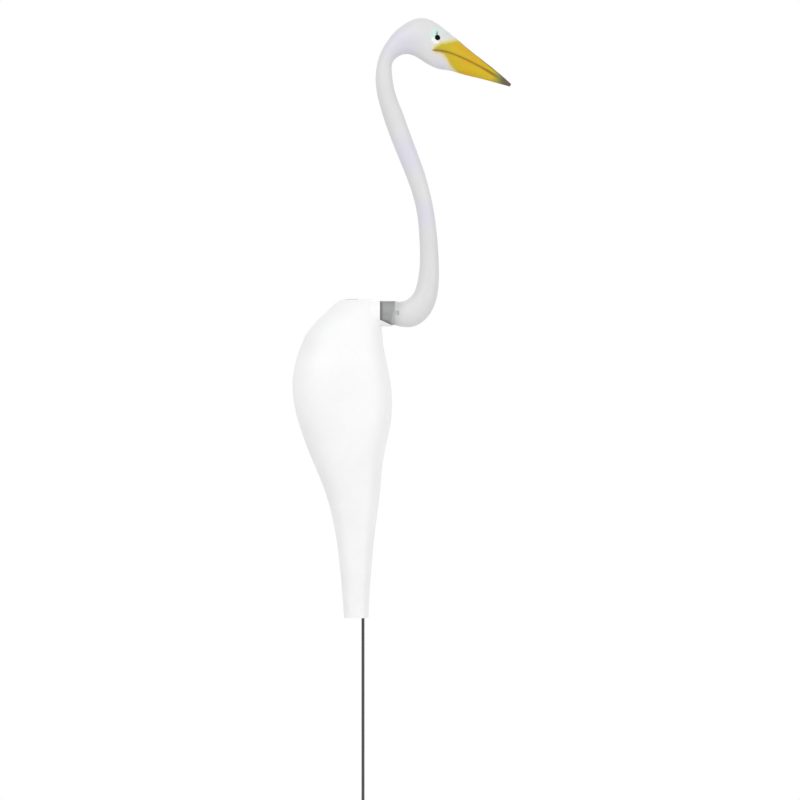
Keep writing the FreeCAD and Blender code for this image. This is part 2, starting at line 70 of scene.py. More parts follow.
pivot = Vector(frame["joints"][0]["pos_m"])
ground_height = frame["record"]["mounts"][0]["pos_m"][2]
tail_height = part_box("body_shell_right")[0].z
crown_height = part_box("body_shell_right")[1].z
collar_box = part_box("neck_collar")
eye_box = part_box("eye_right")
eye_place = (eye_box[0] + eye_box[1]) / 2

# ---- Lines and patches of the side view: x and z from the pivot, in millimetres ----

MOUTH_LINE = [
    (68.0, 262.0),
    (82.0, 260.6),
    (97.0, 255.6),
    (112.0, 248.6),
    (125.0, 241.6),
    (137.0, 234.2),
    (149.5, 226.8),
]
# The edge of the bill's yellow paint, over the mouth and under it.
BROW_EDGE = [
    (70.0, 262.5),
    (72.0, 266.2),
    (76.0, 268.8),
    (81.0, 270.6),
    (86.0, 271.8),
    (93.0, 273.2),
]
THROAT_EDGE = [
    (70.0, 262.0),
    (75.0, 259.0),
    (79.0, 256.3),
    (82.5, 252.3),
    (86.0, 247.0),
    (91.0, 241.0),
]
THROAT_SLOPE = 0.65  # distance from the steep throat edge, for each millimetre under it
RIDGE_LINE = [(93.0, 274.8), (148.2, 229.0)]
LIP_LINE = [(17.0, -7.0), (29.5, -12.5)]  # the socket's lip under the collar
GREY_EDGE = [(28.0, -10.0), (33.5, 11.0)]  # where the collar's grey ends, from its foot to its top
# Places where the neck's white turns a little lilac, with the radius of each.
LILAC_PATCHES = [
    (36.0, 268.0, 17.0),
    (46.0, 158.0, 18.0),
    (62.0, 98.0, 12.0),
    (80.0, 248.0, 7.0),
]
LILAC_SOFTNESS = 0.55

# ---- Stretches over which a paint comes or goes, from none of it to all of it, in millimetres ----

# Ahead of the pivot.
GOLDEN = (74.0, 96.0)
ORANGE_START = (86.0, 106.0)
ORANGE_END = (136.0, 122.0)
MOUTH_START = (68.5, 72.0)
CORNER_SHADE = (88.0, 74.0)
FRONT_SHADE = (104.0, 130.0)
RIDGE_START = (91.0, 96.0)
GREEN_TIP = (127.0, 137.0)
DARK_TIP = (134.0, 142.0)
SOCKET_SHADE = (20.6, 18.6)
CROWN_LINE_REAR = (-19.0, -17.0)
CROWN_LINE_FRONT = (-4.0, -6.0)
# Above the pivot.
NECK_ROOT = (24.0, 12.0)
COLLAR_TOP = (8.6, 11.2)
# Above the tail, the crown and the ground.
STAINED_TAIL = (75.0, 0.0)
CROWN_LINE_FOOT = (-0.8, -0.4)
PAINT_FOOT = (-110.0, -80.0)
SOIL_TOP = (34.0, 6.0)
# From the middle plane, to each side.
CROWN_LINE_SIDE = (2.6, 3.4)
SEAM_EDGE = (0.45, 0.10)
# From the yellow paint's edge, with the yellow side negative.
YELLOW_THINS = (-3.6, -0.4)
YELLOW_ENDS = (-0.8, 3.0)
# From the mouth's line: over it, and to either side.
OVER_MOUTH = (-3.0, 1.0)
MOUTH_SHADE = (3.0, 0.4)
MOUTH_GROOVE = (0.95, 0.35)
# Under the bill's ridge, over the socket's lip, ahead of the collar's grey and from the collar's front.
RIDGE_EDGE = (1.5, 0.1)
LIP_SHADE = (3.4, 1.4)
ROOT_SHADE = (13.0, 0.0)
LIGHTER_FRONT = (-2.0, 2.0)
KEY_END = (-1.6, -0.6)

# How far a painted edge wanders, in millimetres.
YELLOW_WANDERS = 3.0
TIP_WANDERS = 9.0
PAINT_FOOT_WANDERS = 110.0
SOIL_WANDERS = 36.0
# The same as a share of a patch's radius.
LILAC_WANDERS = 0.9
EYE_PAINT_WANDERS = 0.7

# ---- Colours, as linear values ----

BODY_WHITE = (0.945, 0.945, 0.945)
BODY_SHADE = (0.890, 0.892, 0.897)
NECK_WHITE = (0.735, 0.735, 0.738)
NECK_SHADE = (0.700, 0.702, 0.710)
LILAC = (0.700, 0.684, 0.800)
SEAM_GREY = (0.50, 0.50, 0.51)
GRIME = (0.42, 0.38, 0.31)
MINT = (0.600, 0.860, 0.730)
# White of the painted highlight behind and under the eye.
EYE_HIGHLIGHT_WHITE = (0.95, 0.95, 0.94)
LASH_GREEN = (0.040, 0.120, 0.095)
YELLOW = (0.665, 0.458, 0.014)
OLIVE_YELLOW = (0.535, 0.455, 0.022)
PALE_YELLOW = (0.780, 0.700, 0.340)
PEACH = (0.830, 0.725, 0.590)
ORANGE = (0.700, 0.405, 0.012)
MOUTH_BROWN = (0.300, 0.170, 0.006)
RIDGE_GREY = (0.120, 0.125, 0.065)
TIP_GREEN = (0.235, 0.270, 0.070)
TIP_DARK = (0.150, 0.110, 0.078)
# The collar's own grey, also used for the painted shade on the crown and on the neck's root.
COLLAR_GREY = (0.345, 0.347, 0.350)
# A darker grey, for the collar's mottle and for its painted shade.
COLLAR_EDGE = (0.150, 0.150, 0.155)
KEY_GREY = (0.490, 0.492, 0.495)
ROD_BLACK = (0.045, 0.045, 0.046)
BARE_STEEL = (0.480, 0.470, 0.450)
POLISHED_STEEL = (0.62, 0.62, 0.62)
SOIL = (0.105, 0.066, 0.038)
NYLON_BLACK = (0.032, 0.032, 0.034)
ZINC = (0.600, 0.600, 0.585)
EYE_BLACK = (0.004, 0.005, 0.005)
FLOOR_PALE = (0.80, 0.80, 0.80)
WHITE = (1.0, 1.0, 1.0)

# Brush marks round the eye, one over the other: paint, share, softness and the ellipses of the mark,
# each as x and z from the eye's centre and radii along X and Z, in millimetres.
EYE_MARKS = [
    (MINT, 0.40, 0.60, [(2.6, 6.6, 4.6, 4.0)]),
    (MINT, 0.85, 0.45, [(-3.0, 3.8, 3.8, 4.8)]),
    # A painted highlight in white, behind and under the eye.
    (EYE_HIGHLIGHT_WHITE, 0.85, 0.50, [(-3.6, -1.9, 2.3, 2.1), (-1.3, -4.2, 2.8, 1.9)]),
]
# The dark lash over the bead, with a clean edge.
LASH_MARK = (LASH_GREEN, 0.75, 0.60, [(-0.5, 3.9, 0.9, 2.7)])

# ---- Gloss: the lowest and highest roughness of each finish, and its specular level ----

SHELL_ROUGHNESS = (0.36, 0.52)
BILL_ROUGHNESS = (0.34, 0.50)
EYE_ROUGHNESS = (0.06, 0.20)
COLLAR_ROUGHNESS = (0.42, 0.58)
STAKE_ROUGHNESS = (0.30, 0.48)
NYLON_ROUGHNESS = (0.45, 0.62)
STEEL_ROUGHNESS = (0.12, 0.24)
ZINC_ROUGHNESS = (0.28, 0.42)
BILL_SPECULAR = 0.25
EYE_SPECULAR = 0.04

# ---- Noise textures ----


class Grain(NamedTuple):
    """A noise texture: its cells per metre, how fine and how stretched it is, and where it lies. The
    window holds the levels of noise between which it comes up."""

    scale: float
    detail: float = 3.0
    roughness: float = 0.55
    stretch: tuple = (1.0, 1.0, 1.0)
    shift: float = 0.0
    window: tuple = (0.3, 0.7)


# White shells.
SOFT_CLOUDS = Grain(11.0, window=(0.42, 0.72))
MOTTLE = Grain(210.0, detail=4.0, window=(0.52, 0.75))
SCRATCHES = Grain(420.0, 2.0, 0.60, stretch=(1.0, 1.0, 0.05), shift=3.7, window=(0.68, 0.76))
SCUFFED_PLACES = Grain(14.0, 2.0, 0.50, shift=9.1, window=(0.50, 0.68))
SHELL_GLOSS = Grain(34.0, 4.0, 0.60, shift=5.3)
MOULD_WAVES = Grain(46.0, 2.0, shift=2.9)
ORANGE_PEEL = Grain(1250.0, 2.0)
TAIL_STAINS = Grain(95.0, 5.0, 0.65, stretch=(1.0, 1.0, 0.45), shift=1.3, window=(0.50, 0.78))
# Ragged edges of paint.
LILAC_EDGE = Grain(60.0, shift=4.4)
YELLOW_EDGE = Grain(240.0, shift=6.1)
EYE_PAINT_EDGE = Grain(420.0, shift=8.2)
# Bill.
BRUSH = Grain(120.0, 4.0, 0.60, stretch=(0.35, 1.0, 1.0), shift=2.2)
ORANGE_WINDOW = (0.40, 0.62)  # the levels of the brush strokes that the orange shows between
STREAKS = Grain(150.0, 3.0, 0.60, stretch=(0.35, 1.0, 1.0), shift=7.7, window=(0.46, 0.66))
RIDGE_WEAR = Grain(150.0, 3.0, 0.60, shift=4.9)
# Eyes and collar.
DUST = Grain(900.0, window=(0.62, 0.80))
COLLAR_MOTTLE = Grain(150.0, 4.0, 0.60, window=(0.35, 0.70))
COLLAR_TURNING = Grain(700.0, 2.0, 0.50, stretch=(1.0, 0.05, 0.05), shift=1.1)
# Stake, pivot and screws.
SOILED_STEEL = Grain(160.0, 4.0, window=(0.40, 0.65))
PAINT_FOOT_EDGE = Grain(90.0, 4.0, 0.60, stretch=(1.0, 1.0, 0.3))
SOIL_EDGE = Grain(140.0, 4.0)
SOIL_CRUMBS = Grain(300.0, 4.0, shift=2.0, window=(0.35, 0.60))
DRAWN_WIRE = Grain(900.0, 2.0, 0.60, stretch=(1.0, 1.0, 0.012), shift=3.1, window=(0.60, 0.74))
STAKE_GLOSS = Grain(220.0, shift=5.0)
NYLON = Grain(800.0)
METAL_TONE = Grain(260.0, 4.0, window=(0.45, 0.75))
TURNED_STEEL = Grain(1500.0, 2.0, 0.60, stretch=(1.0, 1.0, 0.05))
TURNED_ZINC = Grain(1500.0, 2.0, 0.60, stretch=(1.0, 0.05, 1.0))


# ---- Material building ----


def as_colour(value):
    """What a colour socket takes: a node's output as it is, or three plain values with full opacity."""
    return value if isinstance(value, bpy.types.NodeSocket) else (*value, 1.0)


def side_point(point):
    """A place of the side view, given in millimetres from the pivot, in metres."""
    return (pivot.x + point[0] * MM, pivot.z + point[1] * MM)


class Finish:
    """A material under construction: its shader, and short ways to add the nodes that feed it."""

    def __init__(self, name):
        self.material = bpy.data.materials.new(name)
        self.material.use_nodes = True
        self.nodes = self.material.node_tree.nodes
        self.links = self.material.node_tree.links
        self.nodes.clear()
        self.shader = self.nodes.new("ShaderNodeBsdfPrincipled")
        output = self.nodes.new("ShaderNodeOutputMaterial")
        self.links.new(self.shader.outputs["BSDF"], output.inputs["Surface"])
        self.place = self.nodes.new("ShaderNodeTexCoord").outputs["Object"]
        split = self.nodes.new("ShaderNodeSeparateXYZ")
        self.links.new(self.place, split.inputs[0])
        self.x, self.y, self.z = split.outputs

    # Values

    def feed(self, socket, value):
        """Joins a node's output to a socket, or sets the socket to a plain value."""
        if isinstance(value, bpy.types.NodeSocket):
            self.links.new(value, socket)
        else:
            socket.default_value = value

    def calc(self, operation, *values):
        node = self.nodes.new("ShaderNodeMath")
        node.operation = operation
        for socket, value in zip(node.inputs, values):
            self.feed(socket, value)
        return node.outputs[0]

    def chain(self, operation, values):
        """One or more values, joined one after the other by the same operation."""
        total = values[0]
        for value in values[1:]:
            total = self.calc(operation, total, value)
        return total

    def plus(self, *values):
        return self.chain("ADD", values)

    def times(self, *values):
        return self.chain("MULTIPLY", values)

    def largest(self, *values):
        return self.chain("MAXIMUM", values)

    def minus(self, first, second):
        return self.calc("SUBTRACT", first, second)

    def rise(self, value, window, start=0.0, end=1.0):
        """Goes smoothly from start to end as value goes from one end of the window to the other."""
        node = self.nodes.new("ShaderNodeMapRange")
        node.interpolation_type = "SMOOTHSTEP"
        for socket, number in zip(node.inputs, (value, *window, start, end)):
            self.feed(socket, number)
        return node.outputs[0]

    def fade(self, value, stretch, start=0.0, end=1.0):
        """The same for a value in metres and a stretch in millimetres."""
        return self.rise(value, (stretch[0] * MM, stretch[1] * MM), start, end)

    # Noise

    def noise(self, grain):
        """A noise texture from 0 to 1."""
        mapping = self.nodes.new("ShaderNodeMapping")
        mapping.inputs["Scale"].default_value = grain.stretch
        mapping.inputs["Location"].default_value = (grain.shift, grain.shift, grain.shift)
        self.links.new(self.place, mapping.inputs["Vector"])
        texture = self.nodes.new("ShaderNodeTexNoise")
        texture.inputs["Scale"].default_value = grain.scale
        texture.inputs["Detail"].default_value = grain.detail
        texture.inputs["Roughness"].default_value = grain.roughness
        self.links.new(mapping.outputs[0], texture.inputs["Vector"])
        return texture.outputs[0]

    def patches(self, grain, start=0.0, end=1.0):
        """A noise texture that goes from start to end over its window."""
        return self.rise(self.noise(grain), grain.window, start, end)

    def ragged(self, noise, wander):
        """Noise as a shift of an edge, half of its wander to each side."""
        return self.times(self.minus(noise, 0.5), wander)

    # Places, in metres

    def ahead(self):
        """The distance ahead of the pivot."""
        return self.minus(self.x, pivot.x)

    def above(self):
        """The height above the pivot."""
        return self.minus(self.z, pivot.z)

    def off_middle(self):
        """The distance from the bird's middle plane."""
        return self.calc("ABSOLUTE", self.y)

    def over_curve(self, line):
        """The height over a curve of the side view, from its points in millimetres."""
        first, last = line[0], line[-1]
        length = last[0] - first[0]
        low = min(z for x, z in line)
        span = max(z for x, z in line) - low
        node = self.nodes.new("ShaderNodeFloatCurve")
        points = node.mapping.curves[0].points
        for x, z in line[1:-1]:
            points.new((x - first[0]) / length, (z - low) / span)
        points[0].location = (0.0, (first[1] - low) / span)
        points[-1].location = (1.0, (last[1] - low) / span)
        node.mapping.update()
        start_x, low_z = side_point((first[0], low))
        share = self.calc("DIVIDE", self.minus(self.x, start_x), length * MM)
        self.links.new(share, node.inputs["Value"])
        height = self.plus(self.times(node.outputs[0], span * MM), low_z)
        return self.minus(self.z, height)

    def over_line(self, line):
        """The distance over a straight line of the side view, from its two points in millimetres."""
        start, end = (Vector(side_point(point)) for point in line)
        direction = (end - start).normalized()
        from_x = self.times(self.minus(self.x, start.x), -direction.y)
        from_z = self.times(self.minus(self.z, start.y), direction.x)
        return self.plus(from_x, from_z)

    def under_line(self, line):
        return self.minus(0.0, self.over_line(line))

    def ellipse(self, centre, radii, softness, wobble=None):
        """1 inside an ellipse of the side view and 0 outside, softly between, from metres."""
        across = self.calc("DIVIDE", self.minus(self.x, centre[0]), radii[0])
        up = self.calc("DIVIDE", self.minus(self.z, centre[1]), radii[1])
        distance = self.calc("SQRT", self.plus(self.times(across, across), self.times(up, up)))
        if wobble is not None:
            distance = self.plus(distance, wobble)
        return self.rise(distance, (1.0 + softness, 1.0 - softness))

    # Paint and relief

    def mix(self, factor, first, second):
        """The first colour at factor 0 and the second at 1."""
        node = self.nodes.new("ShaderNodeMix")
        node.data_type = "RGBA"
        self.feed(node.inputs[0], factor)
        self.feed(node.inputs[6], as_colour(first))
        self.feed(node.inputs[7], as_colour(second))
        return node.outputs[2]

    def coat(self, colour, paint, where, share=1.0):
        """Lays paint over a colour where a value is 1, covering it by the share."""
        return self.mix(self.times(where, share), colour, paint)

    def bump(self, height, distance, strength, under=None):
        """A normal from a height between 0 and 1 that stands for a distance in millimetres."""
        node = self.nodes.new("ShaderNodeBump")
        node.inputs["Distance"].default_value = distance * MM
        node.inputs["Strength"].default_value = strength
        self.links.new(height, node.inputs["Height"])
        if under is not None:
            self.links.new(under, node.inputs["Normal"])
        return node.outputs[0]

    def finish(self, colour, roughness, normal=None):
        self.feed(self.shader.inputs["Base Color"], as_colour(colour))
        self.feed(self.shader.inputs["Roughness"], roughness)
        if normal is not None:
            self.links.new(normal, self.shader.inputs["Normal"])
        return self.material


# ---- The bird's finishes ----


def moulded_white(surface, white, shade):
    """Colour, roughness and normal of a white moulded shell: clouds, scuffs, a seam and orange peel."""
    colour = surface.mix(surface.patches(SOFT_CLOUDS), white, shade)
    colour = surface.coat(colour, shade, surface.patches(MOTTLE), share=0.30)
    scuffs = surface.times(surface.patches(SCRATCHES), surface.patches(SCUFFED_PLACES))
    colour = surface.coat(colour, GRIME, scuffs, share=0.22)
    seam = surface.fade(surface.off_middle(), SEAM_EDGE)
    colour = surface.coat(colour, SEAM_GREY, seam, share=0.35)
    roughness = surface.patches(SHELL_GLOSS, *SHELL_ROUGHNESS)
    waves = surface.bump(surface.noise(MOULD_WAVES), distance=0.55, strength=0.35)
    peel = surface.bump(surface.noise(ORANGE_PEEL), distance=0.035, strength=0.5, under=waves)
    groove = surface.bump(surface.minus(1.0, seam), distance=0.22, strength=0.8, under=peel)
    return colour, roughness, groove


def crown_shade_line(surface):
    """A thin grey line of painted shade along each edge of the body's flat crown, behind the collar."""
    ahead = surface.ahead()
    from_crown = surface.minus(surface.z, crown_height)
    return surface.times(
        surface.fade(ahead, CROWN_LINE_REAR),
        surface.fade(ahead, CROWN_LINE_FRONT),
        surface.fade(from_crown, CROWN_LINE_FOOT),
        surface.fade(surface.off_middle(), CROWN_LINE_SIDE),
    )


def body_material():
    surface = Finish("painted_body")
    colour, roughness, normal = moulded_white(surface, BODY_WHITE, BODY_SHADE)
    near_tail = surface.fade(surface.minus(surface.z, tail_height), STAINED_TAIL)
    stains = surface.times(near_tail, surface.patches(TAIL_STAINS))
    colour = surface.coat(colour, GRIME, stains, share=0.12)
    # Painted shade: a thin grey line along the edges of the crown.
    colour = surface.coat(colour, COLLAR_GREY, crown_shade_line(surface), share=0.75)
    return surface.finish(colour, roughness, normal)


def off_yellow(surface):
    """Metres from the edge of the bill's yellow paint, with the yellow side negative."""
    over_brow = surface.over_curve(BROW_EDGE)
    under_throat = surface.times(surface.over_curve(THROAT_EDGE), -THROAT_SLOPE)
    corner_x = side_point(BROW_EDGE[0])[0]
    behind_corner = surface.minus(corner_x, surface.x)
    return surface.largest(over_brow, under_throat, behind_corner)


def plain_yellow(surface):
    """Olive yellow next to the head, and golden further out."""
    return surface.mix(surface.fade(surface.ahead(), GOLDEN), OLIVE_YELLOW, YELLOW)


def edge_of_yellow(surface, yellow, white):
    """Yellow that thins out to white at its edge, over pale yellow, or over peach under the mouth."""
    over_mouth = surface.fade(surface.over_curve(MOUTH_LINE), OVER_MOUTH)
    thin = surface.mix(over_mouth, PEACH, PALE_YELLOW)
    ragged = surface.ragged(surface.noise(YELLOW_EDGE), YELLOW_WANDERS * MM)
    off = surface.plus(off_yellow(surface), ragged)
    colour = surface.coat(yellow, thin, surface.fade(off, YELLOW_THINS), share=0.80)
    return surface.mix(surface.fade(off, YELLOW_ENDS), colour, white)


def brush_mark(surface, colour, mark, ragged=None):
    """A colour with a mark brushed over it near the eye."""
    paint, share, softness, ellipses = mark
    inside = []
    for x, z, radius_x, radius_z in ellipses:
        centre = (eye_place.x + x * MM, eye_place.z + z * MM)
        inside.append(surface.ellipse(centre, (radius_x * MM, radius_z * MM), softness, ragged))
    return surface.coat(colour, paint, surface.largest(*inside), share)


def eye_paint(surface, colour):
    """A colour with the mint patches round the eye, a painted white highlight under it and the dark lash over it.
    """
    ragged = surface.ragged(surface.noise(EYE_PAINT_EDGE), EYE_PAINT_WANDERS)
    for mark in EYE_MARKS:
        colour = brush_mark(surface, colour, mark, ragged)
    return brush_mark(surface, colour, LASH_MARK)


def neck_material():
    surface = Finish("painted_neck")
    colour, roughness, normal = moulded_white(surface, NECK_WHITE, NECK_SHADE)
    ragged = surface.ragged(surface.noise(LILAC_EDGE), LILAC_WANDERS)
    for x, z, radius in LILAC_PATCHES:
        radii = (radius * MM, radius * MM)
        patch = surface.ellipse(side_point((x, z)), radii, LILAC_SOFTNESS, ragged)
        colour = surface.coat(colour, LILAC, patch, share=0.65)
    colour = edge_of_yellow(surface, plain_yellow(surface), colour)
    colour = eye_paint(surface, colour)
    # Painted shade on the neck's root, ahead of the collar's grey, where it goes into the body.
    root_shade = surface.fade(surface.under_line(GREY_EDGE), ROOT_SHADE)
    at_root = surface.fade(surface.above(), NECK_ROOT)
    colour = surface.coat(colour, COLLAR_GREY, surface.times(root_shade, at_root), share=0.42)
    return surface.finish(colour, roughness, normal)


def bill_material():
    """Brushed yellow paint with a brown mouth, a grey ridge and a dark tip."""
    surface = Finish("painted_bill")
    surface.shader.inputs["Specular IOR Level"].default_value = BILL_SPECULAR
    ahead = surface.ahead()
    brushed = surface.noise(BRUSH)
    streaks = surface.patches(STREAKS)

    orange = surface.times(
        surface.fade(ahead, ORANGE_START),
        surface.fade(ahead, ORANGE_END),
        surface.rise(brushed, ORANGE_WINDOW),
    )
    colour = surface.coat(plain_yellow(surface), ORANGE, orange)
    colour = surface.coat(colour, OLIVE_YELLOW, streaks, share=0.45)
    colour = edge_of_yellow(surface, colour, NECK_WHITE)

    from_mouth = surface.calc("ABSOLUTE", surface.over_curve(MOUTH_LINE))
    toward_front = surface.fade(ahead, FRONT_SHADE, start=0.0, end=0.9)
    at_corner = surface.fade(ahead, CORNER_SHADE, start=0.35, end=0.65)
    beside_mouth = surface.fade(from_mouth, MOUTH_SHADE)
    shade = surface.times(beside_mouth, surface.largest(toward_front, at_corner))
    colour = surface.coat(colour, MOUTH_BROWN, shade)
    groove = surface.times(surface.fade(from_mouth, MOUTH_GROOVE), surface.fade(ahead, MOUTH_START))
    colour = surface.coat(colour, MOUTH_BROWN, groove, share=0.85)

    ridge = surface.times(
        surface.fade(surface.under_line(RIDGE_LINE), RIDGE_EDGE),
        surface.fade(ahead, RIDGE_START),
        surface.patches(RIDGE_WEAR, start=0.60, end=0.95),
    )
    colour = surface.coat(colour, RIDGE_GREY, ridge)
    toward_tip = surface.plus(ahead, surface.ragged(brushed, TIP_WANDERS * MM))
    colour = surface.coat(colour, TIP_GREEN, surface.fade(toward_tip, GREEN_TIP), share=0.85)
    colour = surface.coat(colour, TIP_DARK, surface.fade(toward_tip, DARK_TIP))

    roughness = surface.rise(brushed, BRUSH.window, *BILL_ROUGHNESS)
    mouth = surface.bump(surface.minus(1.0, groove), distance=0.30, strength=0.9)
    strokes = surface.bump(streaks, distance=0.06, strength=0.5, under=mouth)
    peel = surface.bump(surface.noise(ORANGE_PEEL), distance=0.03, strength=0.5, under=strokes)
    return surface.finish(colour, roughness, peel)


def eye_material():
    surface = Finish("glass_bead")
    surface.shader.inputs["Specular IOR Level"].default_value = EYE_SPECULAR
    dust = surface.patches(DUST)
    colour = surface.coat(EYE_BLACK, GRIME, dust, share=0.04)
    return surface.finish(colour, surface.rise(dust, (0.0, 1.0), *EYE_ROUGHNESS))


def collar_material():
    """Grey plastic with painted shade in the socket's mouth, on top, over the lip and at the key's end."""
    surface = Finish("grey_collar")
    mottle = surface.patches(COLLAR_MOTTLE)
    colour = surface.coat(COLLAR_GREY, COLLAR_EDGE, mottle, share=0.16)
    # Painted shade in the socket's mouth and on top, and a painted shadow over the lip.
    rear = surface.fade(surface.ahead(), SOCKET_SHADE)
    top = surface.fade(surface.above(), COLLAR_TOP, end=0.8)
    foot = surface.fade(surface.over_line(LIP_LINE), LIP_SHADE, end=0.5)
    colour = surface.coat(colour, COLLAR_EDGE, surface.largest(rear, top, foot), share=0.80)
    # A lighter grey ahead of the grey's soft edge.
    lighter_front = surface.fade(surface.under_line(GREY_EDGE), LIGHTER_FRONT)
    colour = surface.coat(colour, KEY_GREY, lighter_front, share=0.90)
    # Painted shade at the key's end.
    key_end = surface.fade(surface.minus(surface.x, collar_box[1].x), KEY_END)
    colour = surface.coat(colour, COLLAR_EDGE, key_end, share=0.35)
    roughness = surface.rise(mottle, (0.0, 1.0), *COLLAR_ROUGHNESS)
    normal = surface.bump(surface.noise(COLLAR_TURNING), distance=0.05, strength=0.5)
    return surface.finish(colour, roughness, normal)


# ---- The finishes of the stake, the pivot and the screws ----


def rod_material():
    """Black paint over steel, worn to metal at the point and soiled under the ground."""
    surface = Finish("painted_stake")
    from_ground = surface.minus(surface.z, ground_height)
    steel = surface.mix(surface.patches(SOILED_STEEL), BARE_STEEL, SOIL)
    wander = surface.times(surface.noise(PAINT_FOOT_EDGE), PAINT_FOOT_WANDERS * MM)
    painted = surface.fade(surface.plus(from_ground, wander), PAINT_FOOT)
    colour = surface.mix(painted, steel, ROD_BLACK)
    drawn = surface.noise(DRAWN_WIRE)
    bare_lines = surface.rise(drawn, DRAWN_WIRE.window)
    colour = surface.coat(colour, BARE_STEEL, bare_lines, share=0.10)
    wander = surface.times(surface.noise(SOIL_EDGE), SOIL_WANDERS * MM)
    in_soil = surface.fade(surface.plus(from_ground, wander), SOIL_TOP)
    soiled = surface.times(in_soil, surface.patches(SOIL_CRUMBS))
    colour = surface.coat(colour, SOIL, soiled, share=0.55)
    roughness = surface.patches(STAKE_GLOSS, *STAKE_ROUGHNESS)
    return surface.finish(colour, roughness, surface.bump(drawn, distance=0.03, strength=0.5))


def nylon_material():
    surface = Finish("black_nylon")
    noise = surface.noise(NYLON)
    colour = surface.coat(NYLON_BLACK, COLLAR_EDGE, noise, share=0.5)
    roughness = surface.rise(noise, NYLON.window, *NYLON_ROUGHNESS)
    return surface.finish(colour, roughness, surface.bump(noise, distance=0.04, strength=0.4))


def metal_material(name, metal, grain, roughness_range):
    """Bare metal with the fine rings of turning."""
    surface = Finish(name)
    surface.shader.inputs["Metallic"].default_value = 1.0
    turning = surface.noise(grain)
    colour = surface.mix(surface.patches(METAL_TONE), metal, BARE_STEEL)
    roughness = surface.rise(turning, grain.window, *roughness_range)
    return surface.finish(colour, roughness, surface.bump(turning, distance=0.02, strength=0.4))


# ---- Screws with a cross recess and a thread, in place of the plain ones ----

# In millimetres.
SCREW_APART = 9.0  # two points of one screw are never this far apart in the side view
THREAD_PITCH = 1.3
HEAD_HEIGHT = 2.2
POINT_LENGTH = 3.2  # the thread starts this far above the tip
POINT_STEP = 0.2  # from the point's end to the first thread
PLAIN_SHANK = 0.8
TIP_RADIUS = 0.1
RECESS_LENGTH = 3.6
RECESS_WIDTH = 0.85
RECESS_DEPTH = 1.3
# As shares of the head's radius or height.
CORE_SHARE = 0.37
CREST_SHARE = 0.49
HEAD_FLAT = 0.55
HEAD_ROUND = 0.43
RIM_HEIGHT = 0.35
ROUND_HEIGHT = 0.62
RECESS_FOOT = 0.35  # the recess's length at its foot, as a share of its length at the top

TURNS = 28  # corners round a screw
HEAD_STEPS = 4  # corners of the head's rounding
STOP_TURN = 100.0  # radians that a screw's cross is turned by, for each metre of its height


def screw_boxes(node):
    """The box of each screw in a node that holds one or more, from its points."""
    apart = SCREW_APART * MM
    groups = []
    for vertex in frame["nodes"][node].data.vertices:
        place = vertex.co
        for group in groups:
            if abs(group[0].x - place.x) < apart and abs(group[0].z - place.z) < apart:
                group.append(place)
                break
        else:
            groups.append([place])
    boxes = []
    for group in groups:
        low = Vector(min(place[axis] for place in group) for axis in range(3))
        high = Vector(max(place[axis] for place in group) for axis in range(3))
        boxes.append((low, high))
    return boxes


def lathe(profile):
    """A mesh of revolution about Z from (radius, height) corners."""
    mesh = bmesh.new()
    angles = [2 * math.pi * n / TURNS for n in range(TURNS)]
    rings = []
    for radius, height in profile:
        corners = ((radius * math.cos(angle), radius * math.sin(angle), height) for angle in angles)
        rings.append([mesh.verts.new(corner) for corner in corners])
    for ring, above in zip(rings, rings[1:]):
        for n in range(TURNS):
            after = (n + 1) % TURNS
            mesh.faces.new((ring[n], ring[after], above[after], above[n]))
    mesh.faces.new(list(reversed(rings[0])))
    mesh.faces.new(rings[-1])
    bmesh.ops.recalc_face_normals(mesh, faces=mesh.faces)
    return mesh


def recess_bar(turn):
    """One bar of the cross that a driver goes into, narrower at its foot."""
    mesh = bmesh.new()
    made = bmesh.ops.create_cube(mesh, size=1.0)["verts"]
    bmesh.ops.scale(mesh, vec=(RECESS_LENGTH, RECESS_WIDTH, 2 * RECESS_DEPTH), verts=made)
    for vertex in made:
        if vertex.co.z < 0:
            vertex.co.x *= RECESS_FOOT
    bmesh.ops.rotate(mesh, matrix=Matrix.Rotation(turn, 3, "Z"), verts=made)
    return mesh


def object_from(mesh, name):
    """An object in the scene, from a mesh under construction."""
    data = bpy.data.meshes.new(name)
    mesh.to_mesh(data)
    mesh.free()
    made = bpy.data.objects.new(name, data)
    bpy.context.scene.collection.objects.link(made)
    return made


def screw_profile(head_radius, shank_length):
    """Corners of a pan-head screw in millimetres, from its tip to the top of its head."""
    core = CORE_SHARE * head_radius
    crest = CREST_SHARE * head_radius
    height = POINT_LENGTH - shank_length
    profile = [(TIP_RADIUS, -shank_length), (core, height - POINT_STEP)]
    while height < -PLAIN_SHANK - THREAD_PITCH:
        profile.append((core, height))
        profile.append((crest, height + THREAD_PITCH / 2))
        height += THREAD_PITCH
    profile.append((core, -PLAIN_SHANK))
    profile.append((core, 0.0))
    profile.append(((HEAD_FLAT + HEAD_ROUND) * head_radius, 0.0))
    for step in range(HEAD_STEPS + 1):
        angle = math.pi / 2 * step / HEAD_STEPS
        radius = head_radius * (HEAD_FLAT + HEAD_ROUND * math.cos(angle))
        profile.append((radius, HEAD_HEIGHT * (RIM_HEIGHT + ROUND_HEIGHT * math.sin(angle))))
    return profile


def recessed(blank, turn):
    """The blank's mesh, with the cross cut into the top of its head."""
    cutters = []
    for n in range(2):
        cutter = object_from(recess_bar(turn + n * math.pi / 2), "recess_bar")
        cutter.location.z = HEAD_HEIGHT
        cut = blank.modifiers.new("recess", "BOOLEAN")
        cut.operation = "DIFFERENCE"
        cut.solver = "EXACT"
        cut.object = cutter
        cutters.append(cutter)
    bpy.context.view_layer.update()
    seen = blank.evaluated_get(bpy.context.evaluated_depsgraph_get())
    data = bpy.data.meshes.new_from_object(seen)
    for used in cutters + [blank]:
        bpy.data.objects.remove(used)
    return data


